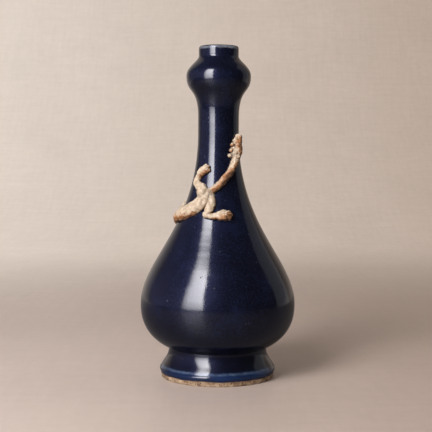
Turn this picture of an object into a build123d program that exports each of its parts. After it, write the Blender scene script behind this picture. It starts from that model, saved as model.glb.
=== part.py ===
from build123d import *
import math
import os

# A garlic-head vase in stoneware, 240 mm tall, thrown in six sections that are luted end to end,
# with a small dragon of rolled and pinched clay luted round its neck and shoulder.
# All sizes are in millimetres. Z is up, the foot stands on Z = 0, and the vase's axis is Z.
# Azimuths are in degrees round the axis: 0 faces the viewer (-Y) and 90 is the right side (+X).

# Foot: a splayed ring with a soft roll of glaze above its bare rim
foot_height = 21.5
foot_waist_radius = 35.6
foot_waist_handle = 6.5
foot_splay_radius = 41.1
foot_splay_height = 8.4
foot_splay_handle_in = 1.7
foot_splay_handle_up = 3.6
foot_roll_radius = 42.2
foot_roll_height = 6.3
foot_roll_handle = 0.9
foot_roll_lip = 0.3
foot_glaze_edge_radius = 41.5
foot_glaze_edge_height = 4.5
foot_rim_radius = 41.0
foot_rim_round = 1.0
foot_stand_width = 6.0
foot_wall = 5.2

# Body: a pear whose widest ring is low, drawn up in one sweep to the neck
belly_rise = 31.5
belly_radius = 56.3
belly_height = foot_height + belly_rise
belly_wall = 4.6
belly_lower_handle = 15.2
belly_upper_handle = 33.2
underside_handle_out = 13.8
underside_handle_up = 6.7
floor_thickness = 7.0
floor_height = foot_height + floor_thickness
floor_radius = 27.0
floor_handle = 16.0

# Neck and the bulb that gives the vase its name
sweep_rise = 124.5
neck_radius = 14.8
neck_foot_height = belly_height + sweep_rise
neck_sweep_handle = 69.0
neck_straight = 11.5
neck_top_height = neck_foot_height + neck_straight
neck_wall = 4.1
bulb_rise = 29.4
bulb_radius = 23.4
bulb_height = neck_top_height + bulb_rise
bulb_wall = 3.8
bulb_base_handle = 21.6
bulb_lower_handle = 12.8
bulb_upper_handle = 7.4
collar_handle = 4.2
collar_pinch = 0.7

# Mouth: a short straight collar with a rounded lip and a round bore
bulb_crown_rise = 15.2
collar_rise = 6.4
collar_height = bulb_height + bulb_crown_rise
vase_height = collar_height + collar_rise
mouth_radius = 14.4
mouth_bore_radius = 11.4

# Heights of the level joints where the thrown sections are luted
neck_joint_drop = 27.5
bulb_joint_rise = 12.5
collar_joint_drop = 2.1
belly_joint_height = belly_height
neck_joint_height = neck_foot_height - neck_joint_drop
bulb_joint_height = neck_top_height + bulb_joint_rise
collar_joint_height = collar_height - collar_joint_drop

# The dragon is rolled from clay about as thick as its torso, and lies along the body's sweep
torso_radius = 5.0

# Clay rolls of the dragon. Each roll is a list of stations (azimuth, rise, lift, thickness). The
# rise is from the belly's widest ring, as a share of the sweep's. The lift is how far its middle
# stands off the wall and the thickness is its radius, both in torso radii.
torso_roll = [
    (-18.0, 0.654, 0.12, 0.72),
    (-24.5, 0.618, 0.16, 0.96),
    (-36.0, 0.582, 0.12, 1.00),
    (-50.0, 0.553, 0.10, 1.00),
    (-66.0, 0.530, 0.10, 0.98),
    (-82.0, 0.514, 0.10, 0.96),
    (-97.0, 0.503, 0.12, 0.92),
]
tail_roll = [
    (-18.0, 0.657, 0.18, 0.48),
    (-5.0, 0.683, 0.24, 0.48),
    (6.5, 0.713, 0.24, 0.47),
    (17.5, 0.745, 0.24, 0.48),
    (28.5, 0.782, 0.24, 0.49),
    (39.5, 0.818, 0.24, 0.54),
    (47.0, 0.859, 0.24, 0.66),
]
tail_tip_roll = [
    (47.5, 0.859, 0.20, 0.68),
    (51.0, 0.888, 0.16, 0.88),
    (53.0, 0.920, 0.16, 0.84),
    (56.5, 0.951, 0.18, 0.66),
    (62.0, 0.973, 0.24, 0.50),
]
upper_thigh_roll = [
    (-26.0, 0.623, 0.18, 0.72),
    (-29.0, 0.654, 0.20, 0.84),
    (-34.0, 0.681, 0.18, 0.74),
    (-43.0, 0.696, 0.16, 0.56),
    (-50.0, 0.707, 0.18, 0.48),
]
upper_shank_roll = [
    (-50.0, 0.707, 0.18, 0.46),
    (-49.5, 0.737, 0.20, 0.42),
    (-44.5, 0.760, 0.22, 0.48),
    (-38.0, 0.778, 0.24, 0.64),
    (-33.0, 0.786, 0.24, 0.68),
]
lower_thigh_roll = [
    (-17.0, 0.647, 0.16, 0.60),
    (-12.0, 0.615, 0.20, 0.70),
    (-13.0, 0.573, 0.20, 0.62),
    (-17.5, 0.537, 0.20, 0.54),
]
lower_shank_roll = [
    (-17.5, 0.535, 0.20, 0.52),
    (-11.0, 0.524, 0.20, 0.42),
    (-4.5, 0.525, 0.22, 0.44),
    (2.0, 0.527, 0.24, 0.64),
    (8.5, 0.527, 0.24, 0.80),
]
upper_arm_roll = [
    (-94.5, 0.522, 0.16, 0.60),
    (-98.5, 0.551, 0.18, 0.46),
    (-106.0, 0.570, 0.16, 0.40),
    (-116.0, 0.586, 0.16, 0.40),
]
upper_forearm_roll = [
    (-116.0, 0.586, 0.16, 0.38),
    (-124.0, 0.604, 0.18, 0.36),
    (-129.0, 0.628, 0.18, 0.42),
    (-130.0, 0.655, 0.18, 0.50),
]
lower_arm_roll = [
    (-94.0, 0.509, 0.18, 0.66),
    (-104.0, 0.482, 0.20, 0.54),
    (-116.0, 0.463, 0.18, 0.46),
]
lower_forearm_roll = [
    (-116.0, 0.463, 0.18, 0.42),
    (-124.0, 0.450, 0.18, 0.38),
    (-130.0, 0.427, 0.18, 0.40),
    (-131.0, 0.398, 0.18, 0.50),
]
neck_roll = [
    (-96.0, 0.506, 0.18, 0.70),
    (-109.0, 0.490, 0.24, 0.64),
    (-119.0, 0.492, 0.30, 0.60),
    (-128.0, 0.509, 0.36, 0.58),
    (-135.0, 0.541, 0.40, 0.60),
]
head_roll = [
    (-136.0, 0.546, 0.32, 0.68),
    (-141.0, 0.570, 0.36, 0.90),
    (-147.0, 0.593, 0.32, 0.80),
    (-152.5, 0.610, 0.22, 0.58),
    (-158.0, 0.625, 0.18, 0.54),
]

# Pellets pinched on, each a station too
tail_curl_pellets = [
    (28.5, 0.869, 0.20, 0.26),
    (34.0, 0.898, 0.20, 0.30),
    (38.0, 0.930, 0.20, 0.28),
    (70.0, 0.912, 0.24, 0.36),
    (68.0, 0.946, 0.20, 0.36),
]
ear_pellets = [(-135.5, 0.599, 0.48, 0.34), (-143.5, 0.535, 0.48, 0.34)]
eye_pellets = [(-144.0, 0.607, 0.98, 0.22), (-148.6, 0.567, 0.98, 0.22)]
end_swell = 1.02
toe_radius = 1.3
toe_reach = 1.5
toe_spread = 34.0
toes_per_paw = 3
toe_clearance = 0.05


def cubic(start, start_handle, end_handle, end):
    """A curve in the (radius, height) plane from start to end, leaving and arriving along its handles."""
    return Bezier(start, start_handle, end_handle, end)


# One sweep from the belly's widest ring to the foot of the neck
belly_sweep = [
    (belly_radius, belly_height),
    (belly_radius, belly_height + belly_upper_handle),
    (neck_radius, neck_foot_height - neck_sweep_handle),
    (neck_radius, neck_foot_height),
]


def sweep_point(share):
    """(radius, height) and direction of the belly's sweep at a share of its parameter."""
    a, b, c, d = (Vector(r, z) for r, z in belly_sweep)
    rest = 1 - share
    point = a * rest**3 + b * (3 * rest**2 * share) + c * (3 * rest * share**2) + d * share**3
    heading = (b - a) * rest**2 + (c - b) * (2 * rest * share) + (d - c) * share**2
    return point, heading.normalized()


def wall_at(height):
    """Radius of the outer wall at a height between the belly and the bulb, and its outward slope."""
    if height >= neck_foot_height:
        return neck_radius, Vector(1, 0)
    low, high = 0.0, 1.0
    for _ in range(40):
        middle = (low + high) / 2
        if sweep_point(middle)[0].Y < height:
            low = middle
        else:
            high = middle
    point, heading = sweep_point(low)
    return point.X, Vector(heading.Y, -heading.X)


def on_wall(azimuth, rise, lift):
    """A point that stands lift off the wall, and the wall's outward direction there."""
    height = belly_height + sweep_rise * rise
    radius, slope = wall_at(height)
    turn = math.radians(azimuth)
    outward = Vector(math.sin(turn), -math.cos(turn), 0)
    normal = outward * slope.X + Vector(0, 0, slope.Y)
    return outward * radius + Vector(0, 0, height) + normal * lift, normal


def placed(station):
    """The middle of a station, the wall's outward direction there and the station's radius."""
    azimuth, rise, lift, thickness = station
    point, normal = on_wall(azimuth, rise, lift * torso_radius)
    return point, normal, thickness * torso_radius


def revolved(outline):
    """The solid that an outline of edges in the (radius, height) plane sweeps round the axis."""
    return revolve(Plane.XZ * make_face(outline), Axis.Z, 360)


def outer_edges():
    """The vase's outer outline from the top of the foot to the lip's crest."""
    lip_radius = (mouth_radius - mouth_bore_radius) / 2
    lip_height = vase_height - lip_radius
    underside = cubic(
        (foot_waist_radius, foot_height),
        (foot_waist_radius + underside_handle_out, foot_height + underside_handle_up),
        (belly_radius, belly_height - belly_lower_handle),
        (belly_radius, belly_height),
    )
    sweep = cubic(*belly_sweep)
    neck = Line((neck_radius, neck_foot_height), (neck_radius, neck_top_height))
    bulb_lower = cubic(
        (neck_radius, neck_top_height),
        (neck_radius, neck_top_height + bulb_base_handle),
        (bulb_radius, bulb_height - bulb_lower_handle),
        (bulb_radius, bulb_height),
    )
    bulb_upper = cubic(
        (bulb_radius, bulb_height),
        (bulb_radius, bulb_height + bulb_upper_handle),
        (mouth_radius - collar_pinch, collar_height - collar_handle),
        (mouth_radius, collar_height),
    )
    collar = Line((mouth_radius, collar_height), (mouth_radius, lip_height))
    return [underside, sweep, neck, bulb_lower, bulb_upper, collar], lip_radius, lip_height


def vase_core():
    """The vase's outer form as if it were solid clay, from the foot's top to the mouth."""
    edges, _, lip_height = outer_edges()
    top = Line((mouth_radius, lip_height), (0, lip_height))
    axis = Line((0, lip_height), (0, foot_height))
    base = Line((0, foot_height), (foot_waist_radius, foot_height))
    return revolved([*edges, top, axis, base])


def clay_wall():
    """The hollow clay wall of body, neck, bulb and mouth, before it is divided at its joints."""
    edges, lip_radius, lip_height = outer_edges()
    bore = mouth_bore_radius
    inner_neck = neck_radius - neck_wall
    inner_belly = belly_radius - belly_wall
    inner_bulb = bulb_radius - bulb_wall
    lip = ThreePointArc(
        (mouth_radius, lip_height), (mouth_radius - lip_radius, vase_height), (bore, lip_height)
    )
    bore_line = Line((bore, lip_height), (bore, collar_joint_height))
    inside_bulb_upper = cubic(
        (bore, collar_joint_height),
        (bore, collar_joint_height - collar_handle),
        (inner_bulb, bulb_height + bulb_upper_handle),
        (inner_bulb, bulb_height),
    )
    inside_bulb_lower = cubic(
        (inner_bulb, bulb_height),
        (inner_bulb, bulb_height - bulb_lower_handle),
        (inner_neck, neck_top_height + bulb_base_handle),
        (inner_neck, neck_top_height),
    )
    inside_neck = Line((inner_neck, neck_top_height), (inner_neck, neck_foot_height))
    inside_sweep = cubic(
        (inner_neck, neck_foot_height),
        (inner_neck, neck_foot_height - neck_sweep_handle),
        (inner_belly, belly_height + belly_upper_handle),
        (inner_belly, belly_height),
    )
    inside_bowl = cubic(
        (inner_belly, belly_height),
        (inner_belly, belly_height - belly_lower_handle),
        (floor_radius + floor_handle, floor_height),
        (floor_radius, floor_height),
    )
    floor = Line((floor_radius, floor_height), (0, floor_height))
    axis = Line((0, floor_height), (0, foot_height))
    base = Line((0, foot_height), (foot_waist_radius, foot_height))
    inner = [lip, bore_line, inside_bulb_upper, inside_bulb_lower, inside_neck, inside_sweep]
    return revolved([*edges, *inner, inside_bowl, floor, axis, base])


def section(wall, bottom, top):
    """The part of the clay wall that was thrown between two level joints."""
    slab = Cylinder(2 * belly_radius, top - bottom, align=(Align.CENTER, Align.CENTER, Align.MIN))
    return wall & (Pos(0, 0, bottom) * slab)


def foot_ring():
    """The splayed foot, with its roll of glaze, bare rim, flat stand and hollow inside."""
    flare = cubic(
        (foot_waist_radius, foot_height),
        (foot_waist_radius, foot_height - foot_waist_handle),
        (foot_splay_radius - foot_splay_handle_in, foot_splay_height + foot_splay_handle_up),
        (foot_splay_radius, foot_splay_height),
    )
    roll_upper = cubic(
        (foot_splay_radius, foot_splay_height),
        (
            foot_splay_radius + foot_splay_handle_in / 4,
            foot_splay_height - foot_splay_handle_up / 4,
        ),
        (foot_roll_radius, foot_roll_height + foot_roll_handle),
        (foot_roll_radius, foot_roll_height),
    )
    roll_lower = cubic(
        (foot_roll_radius, foot_roll_height),
        (foot_roll_radius, foot_roll_height - foot_roll_handle),
        (foot_glaze_edge_radius + foot_roll_lip, foot_glaze_edge_height),
        (foot_glaze_edge_radius, foot_glaze_edge_height),
    )
    rim = Line((foot_glaze_edge_radius, foot_glaze_edge_height), (foot_rim_radius, foot_rim_round))
    stand_outer = foot_rim_radius - foot_rim_round
    stand_inner = stand_outer - foot_stand_width
    rim_round = RadiusArc((foot_rim_radius, foot_rim_round), (stand_outer, 0), foot_rim_round)
    stand = Line((stand_outer, 0), (stand_inner, 0))
    top_inner = foot_waist_radius - foot_wall
    inside = cubic(
        (stand_inner, 0),
        (stand_inner, foot_splay_height),
        (top_inner, foot_height - foot_waist_handle),
        (top_inner, foot_height),
    )
    top = Line((top_inner, foot_height), (foot_waist_radius, foot_height))
    return revolved([flare, roll_upper, roll_lower, rim, rim_round, stand, inside, top])


def pellet(station):
    """A small ball of clay pressed onto the wall or onto another piece."""
    point, normal, radius = placed(station)
    return Plane(origin=point, z_dir=normal) * Sphere(radius)


def roll(stations, start_rounded=False):
    """A roll of clay that follows the wall through its stations, as thick as each says.

    Its far end is a rounded, slightly fuller tip, and so is its start if that isn't rooted in
    another piece.
    """
    middles = [placed(station) for station in stations]
    path = Spline([point for point, _, _ in middles])
    rounds = []
    for point, normal, radius in middles:
        heading = path.tangent_at(path.param_at_point(point))
        inward = (heading * heading.dot(normal) - normal).normalized()
        rounds.append(Plane(origin=point, x_dir=inward, z_dir=heading) * Circle(radius))
    tips = [(middles[-1], path.tangent_at(1))]
    if start_rounded:
        tips.append((middles[0], -path.tangent_at(0)))
    balls = [
        Plane(origin=point, x_dir=-normal, z_dir=way) * Sphere(radius * end_swell)
        for (point, normal, radius), way in tips
    ]
    return loft(rounds).fuse(*balls)


def paw_toes(shank):
    """Toes pinched from the end of a leg, fanned out and resting on the wall beyond the paw."""
    start, _, _ = placed(shank[-2])
    _, _, paw_radius = placed(shank[-1])
    point, normal = on_wall(shank[-1][0], shank[-1][1], toe_radius + toe_clearance)
    heading = point - start
    heading = (heading - normal * heading.dot(normal)).normalized()
    toes = []
    for i in range(toes_per_paw):
        way = heading.rotate(Axis((0, 0, 0), normal), toe_spread * (i - (toes_per_paw - 1) / 2))
        middle = point + way * (paw_radius + toe_reach - toe_radius)
        toes.append(Plane(origin=middle, x_dir=-normal, z_dir=way) * Sphere(toe_radius))
    return toes


def leg(thigh, shank):
    """A leg bent at its joint from two rolls and rooted in the torso, with its toes."""
    return roll(thigh).fuse(roll(shank), *paw_toes(shank))


def trimmed(lump, cutters):
    """What is left of a lump of clay outside the solids that it is pressed on."""
    for cutter in cutters:
        lump = lump - cutter
    return lump.solids()


def main():
    core = vase_core()
    wall = clay_wall()
    pieces = {
        "foot_ring": foot_ring(),
        "lower_body": section(wall, foot_height, belly_joint_height),
        "upper_body": section(wall, belly_joint_height, neck_joint_height),
        "neck": section(wall, neck_joint_height, bulb_joint_height),
        "garlic_bulb": section(wall, bulb_joint_height, collar_joint_height),
        "mouth_collar": section(wall, collar_joint_height, vase_height),
    }
    # The dragon's pieces in the order the potter sets them: each is trimmed to the wall and to the
    # earlier pieces that it is pressed on.
    dragon = {
        "dragon_torso": ([roll(torso_roll, start_rounded=True)], []),
        "dragon_tail": ([roll(tail_roll)], ["dragon_torso"]),
        "dragon_tail_tip": ([roll(tail_tip_roll, start_rounded=True)], ["dragon_tail"]),
        "dragon_tail_curls": (
            [pellet(p) for p in tail_curl_pellets],
            ["dragon_tail", "dragon_tail_tip"],
        ),
        "dragon_upper_hind_leg": ([leg(upper_thigh_roll, upper_shank_roll)], ["dragon_torso"]),
        "dragon_lower_hind_leg": (
            [leg(lower_thigh_roll, lower_shank_roll)],
            ["dragon_torso", "dragon_tail"],
        ),
        "dragon_neck": ([roll(neck_roll)], ["dragon_torso"]),
        "dragon_upper_foreleg": (
            [leg(upper_arm_roll, upper_forearm_roll)],
            ["dragon_torso", "dragon_neck"],
        ),
        "dragon_lower_foreleg": (
            [leg(lower_arm_roll, lower_forearm_roll)],
            ["dragon_torso", "dragon_neck"],
        ),
        "dragon_head": ([roll(head_roll, start_rounded=True)], ["dragon_neck"]),
        "dragon_ears": ([pellet(p) for p in ear_pellets], ["dragon_head", "dragon_neck"]),
        "dragon_eyes": ([pellet(p) for p in eye_pellets], ["dragon_head"]),
    }
    for name, (lumps, pressed_on) in dragon.items():
        cutters = [core] + [lump for other in pressed_on for lump in dragon[other][0]]
        pieces[name] = Compound(children=[s for lump in lumps for s in trimmed(lump, cutters)])
    os.makedirs("parts", exist_ok=True)
    for name, shape in pieces.items():
        export_step(shape, f"parts/{name}.step")


main()
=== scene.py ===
import math

import bmesh
import bpy
import numpy as np
from mathutils import Matrix, Vector
from mathutils.kdtree import KDTree


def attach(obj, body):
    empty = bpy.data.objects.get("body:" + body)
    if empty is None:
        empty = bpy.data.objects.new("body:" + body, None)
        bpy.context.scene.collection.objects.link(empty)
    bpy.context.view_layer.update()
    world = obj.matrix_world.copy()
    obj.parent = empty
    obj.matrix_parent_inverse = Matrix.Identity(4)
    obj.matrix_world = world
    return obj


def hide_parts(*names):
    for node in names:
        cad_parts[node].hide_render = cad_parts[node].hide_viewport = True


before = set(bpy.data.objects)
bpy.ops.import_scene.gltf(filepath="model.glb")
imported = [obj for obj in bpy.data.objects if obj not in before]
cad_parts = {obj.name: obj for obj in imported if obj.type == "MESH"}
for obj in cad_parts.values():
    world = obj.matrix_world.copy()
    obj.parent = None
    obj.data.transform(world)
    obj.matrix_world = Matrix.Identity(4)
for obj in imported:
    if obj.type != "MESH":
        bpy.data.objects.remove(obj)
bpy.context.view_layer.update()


# --- Camera ---------------------------------------------------------------------------------
# A short telephoto at the height of the dragon's tail, looking slightly down. It leans a quarter
# of a degree, so the vase leans as it does in the photograph.
def placed(name, data):
    """A new object of that data, linked into the scene."""
    thing = bpy.data.objects.new(name, data)
    bpy.context.scene.collection.objects.link(thing)
    return thing


lens_at = (-0.0015, -0.7425, 0.1639)
looks_down, leans = 3.6, 0.25
lens = bpy.data.cameras.new("photo_lens")
lens.lens = 85
lens.sensor_width = 36
lens.clip_start = 0.01
camera = placed("photo_camera", lens)
camera.matrix_world = (
    Matrix.Translation(lens_at)
    @ Matrix.Rotation(math.radians(90 - looks_down), 4, "X")
    @ Matrix.Rotation(math.radians(leans), 4, "Z")
)
bpy.context.scene.camera = camera


# --- Foot ring ------------------------------------------------------------------------------
# The splayed stoneware foot on which the vase stands. It is thrown as a ring, dipped in cobalt
# glaze down to a wavy line above the floor, and wiped bare below that.
def curve_point(start, start_handle, end_handle, end, t):
    """The point (radius, height) in mm at the share t of a curve."""
    s = 1 - t
    return tuple(
        s**3 * a + 3 * s * s * t * b + 3 * s * t * t * c + t**3 * d
        for a, b, c, d in zip(start, start_handle, end_handle, end)
    )


def bow(start, start_handle, end_handle, end, steps):
    """Points along a curve, the last left for the next run to give."""
    shares = [0.0, 0.004, *[i / steps for i in range(1, steps)], 0.996]
    return [curve_point(start, start_handle, end_handle, end, t) for t in shares]


def straight(start, end, steps=6):
    """Points along a straight run, closer together near its ends."""
    third = [(a + (b - a) / 3, a + 2 * (b - a) / 3) for a, b in zip(start, end)]
    return bow(start, (third[0][0], third[1][0]), (third[0][1], third[1][1]), end, steps)


def knot(tree, kind, inputs=None, **settings):
    """Adds a node, sets it, and joins its inputs to other nodes or to plain values."""
    node = tree.nodes.new(kind)
    for key, value in settings.items():
        setattr(node, key, value)
    for key, value in (inputs or {}).items():
        socket = node.inputs[key]
        if isinstance(value, bpy.types.Node):
            value = value.outputs[0]
        if isinstance(value, bpy.types.NodeSocket):
            tree.links.new(value, socket)
        else:
            socket.default_value = value
    return node


def sums(tree, operation, *terms):
    """A Math node on up to three terms."""
    return knot(tree, "ShaderNodeMath", dict(enumerate(terms)), operation=operation)


def times(tree, one, other):
    """The product of two factors."""
    return sums(tree, "MULTIPLY", one, other)


def off_centre(tree, share):
    """A share from 0 to 1, moved to lie about 0."""
    return sums(tree, "SUBTRACT", share, 0.5)


def split(tree, vector):
    """A vector's three parts."""
    return knot(tree, "ShaderNodeSeparateXYZ", {0: vector}).outputs


def open_group(name, takes, settings, gives):
    """A geometry node tree with its named inputs, and the outputs of its input node."""
    tree = bpy.data.node_groups.new(name, "GeometryNodeTree")
    face = tree.interface
    face.new_socket(takes, in_out="INPUT", socket_type="NodeSocketGeometry")
    for title, value in settings.items():
        kind = "NodeSocketInt" if isinstance(value, int) else "NodeSocketFloat"
        face.new_socket(title, in_out="INPUT", socket_type=kind).default_value = value
    face.new_socket("Finish", in_out="INPUT", socket_type="NodeSocketMaterial")
    face.new_socket(gives, in_out="OUTPUT", socket_type="NodeSocketGeometry")
    return tree, tree.nodes.new("NodeGroupInput").outputs


def close_group(tree, geometry, finish, gives):
    """Realizes the tree's geometry, gives it its material and hands it over."""
    real = knot(tree, "GeometryNodeRealizeInstances", {"Geometry": geometry})
    finished = knot(tree, "GeometryNodeSetMaterial", {"Geometry": real, "Material": finish})
    knot(tree, "NodeGroupOutput", {gives: finished})
    return tree


def potters_wheel():
    """Geometry nodes that turn a section's outline once round the vase's axis."""
    tree, given = open_group(
        "potters_wheel",
        "Outline",
        {
            "Turns Per Ring": 288,
            "Unevenness": 0.00012,
            "Finger Rings": 0.00005,
            "Sharp Above": 0.7,
            "Seed": 3.0,
        },
        "Section",
    )
    count = knot(
        tree, "GeometryNodeAttributeDomainSize", {"Geometry": given["Outline"]}, component="MESH"
    ).outputs["Point Count"]
    rows = sums(tree, "ADD", count, 1.0)
    columns = sums(tree, "ADD", given["Turns Per Ring"], 1.0)
    sheet = knot(
        tree,
        "GeometryNodeMeshGrid",
        {"Size X": 1.0, "Size Y": 1.0, "Vertices X": rows, "Vertices Y": columns},
    )
    across, along, _ = split(tree, knot(tree, "GeometryNodeInputPosition"))
    row = sums(tree, "ROUND", times(tree, sums(tree, "ADD", across, 0.5), count))
    point = sums(tree, "MODULO", row, count)
    angle = times(tree, sums(tree, "ADD", along, 0.5), math.tau)
    picked = knot(
        tree,
        "GeometryNodeSampleIndex",
        {
            "Geometry": given["Outline"],
            "Value": knot(tree, "GeometryNodeInputPosition"),
            "Index": point,
        },
        data_type="FLOAT_VECTOR",
        domain="POINT",
    )
    radius, _, height = split(tree, picked)
    sine, cosine = sums(tree, "SINE", angle), sums(tree, "COSINE", angle)

    def turned(reach):
        """The point at that reach from the axis."""
        parts = {0: times(tree, reach, sine), 1: times(tree, reach, cosine), 2: height}
        return knot(tree, "ShaderNodeCombineXYZ", parts)

    lumps = knot(
        tree,
        "ShaderNodeTexNoise",
        {"Vector": turned(radius), "W": given["Seed"], "Scale": 26.0, "Detail": 1.0},
        noise_dimensions="4D",
    )
    fingers = knot(
        tree,
        "ShaderNodeTexNoise",
        {
            "W": sums(tree, "ADD", times(tree, height, 150.0), given["Seed"]),
            "Scale": 1.0,
            "Detail": 1.0,
        },
        noise_dimensions="1D",
    )
    swing = sums(
        tree,
        "ADD",
        times(tree, off_centre(tree, lumps), given["Unevenness"]),
        times(tree, off_centre(tree, fingers), given["Finger Rings"]),
    )
    hand_round = sums(tree, "ADD", radius, times(tree, swing, 2.0))
    # The middle of a floor stays on the axis
    kept = times(tree, hand_round, sums(tree, "GREATER_THAN", radius, 1e-6))
    moved = knot(tree, "GeometryNodeSetPosition", {"Geometry": sheet, "Position": turned(kept)})
    joined = knot(tree, "GeometryNodeMergeByDistance", {"Geometry": moved, "Distance": 1e-6})
    bend = knot(tree, "GeometryNodeInputMeshEdgeAngle")
    sharp = knot(
        tree,
        "GeometryNodeStoreNamedAttribute",
        {
            "Geometry": joined,
            "Name": "sharp_edge",
            "Value": sums(
                tree, "GREATER_THAN", bend.outputs["Unsigned Angle"], given["Sharp Above"]
            ),
        },
        data_type="BOOLEAN",
        domain="EDGE",
    )
    return close_group(tree, sharp, given["Finish"], "Section")


wheel = potters_wheel()


def baked(name, worker):
    """The worker object's evaluated shape as a plain mesh object at the origin."""
    view = bpy.context.evaluated_depsgraph_get()
    mesh = bpy.data.meshes.new_from_object(worker.evaluated_get(view))
    mesh.name = name
    bpy.data.objects.remove(worker)
    return placed(name, mesh)


def set_input(modifier, title, value):
    """Sets a modifier's input by the identifier of the socket with that title."""
    for item in modifier.node_group.interface.items_tree:
        if item.item_type == "SOCKET" and item.in_out == "INPUT" and item.name == title:
            modifier[item.identifier] = value


def throw(name, outline, finish, node):
    """Turns an outline of (radius, height) in mm into a section that stands for a node."""
    mesh = bpy.data.meshes.new(name + "_outline")
    mesh.from_pydata([(r / 1000, 0, z / 1000) for r, z in outline], [], [])
    worker = placed(name + "_outline", mesh)
    turning = worker.modifiers.new("wheel", "NODES")
    turning.node_group = wheel
    set_input(turning, "Finish", finish)
    piece = baked(name, worker)
    shell = bmesh.new()
    shell.from_mesh(piece.data)
    if shell.calc_volume(signed=True) < 0:
        bmesh.ops.reverse_faces(shell, faces=shell.faces)
    shell.to_mesh(piece.data)
    shell.free()
    piece.data.shade_smooth()
    if node:
        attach(piece, "root")
        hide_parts(node)
    return piece


def ramp(tree, factor, stops):
    """A colour ramp with stops of (place, colour), where a single number is a grey."""
    node = knot(tree, "ShaderNodeValToRGB", {0: factor})
    while len(node.color_ramp.elements) < len(stops):
        node.color_ramp.elements.new(0.5)
    for element, (at, colour) in zip(node.color_ramp.elements, stops):
        element.position = at
        element.color = (colour,) * 3 + (1,) if isinstance(colour, float) else (*colour, 1)
    return node.outputs[0]


def spread(tree, value, low, high, first=0.0, last=1.0, **settings):
    """Takes a value from the range low to high to the range first to last, and holds it there."""
    return knot(
        tree,
        "ShaderNodeMapRange",
        {"Value": value, "From Min": low, "From Max": high, "To Min": first, "To Max": last},
        **settings,
    ).outputs[0]


def own_place(tree, kind="Object"):
    """The object's own coordinates."""
    return knot(tree, "ShaderNodeTexCoord").outputs[kind]


def noise(tree, scale, detail, roughness, where=None):
    """Noise on the object's own coordinates, scale in cells per metre."""
    if where is None:
        where = own_place(tree)
    return knot(
        tree,
        "ShaderNodeTexNoise",
        {"Vector": where, "Scale": scale, "Detail": detail, "Roughness": roughness},
    ).outputs["Fac"]


def blended(tree, factor, first, second):
    """A colour that goes from first to second with the factor."""
    return knot(
        tree,
        "ShaderNodeMix",
        {"Factor": factor, 6: first, 7: second},
        data_type="RGBA",
    ).outputs[2]


def cells(tree, scale):
    """Scattered cells: the distance to a cell's middle, and three random numbers of its own."""
    found = knot(
        tree,
        "ShaderNodeTexVoronoi",
        {"Vector": own_place(tree), "Scale": scale, "Randomness": 1.0},
    )
    lots = knot(tree, "ShaderNodeSeparateColor", {0: found.outputs["Color"]}).outputs
    return found.outputs["Distance"], lots


def rest_of(tree, share):
    """What a share leaves of 1."""
    return sums(tree, "SUBTRACT", 1.0, share)


def bumps(tree, height):
    """A surface normal bent by a height in metres."""
    return knot(tree, "ShaderNodeBump", {"Height": height, "Strength": 1.0, "Distance": 1.0})


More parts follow.
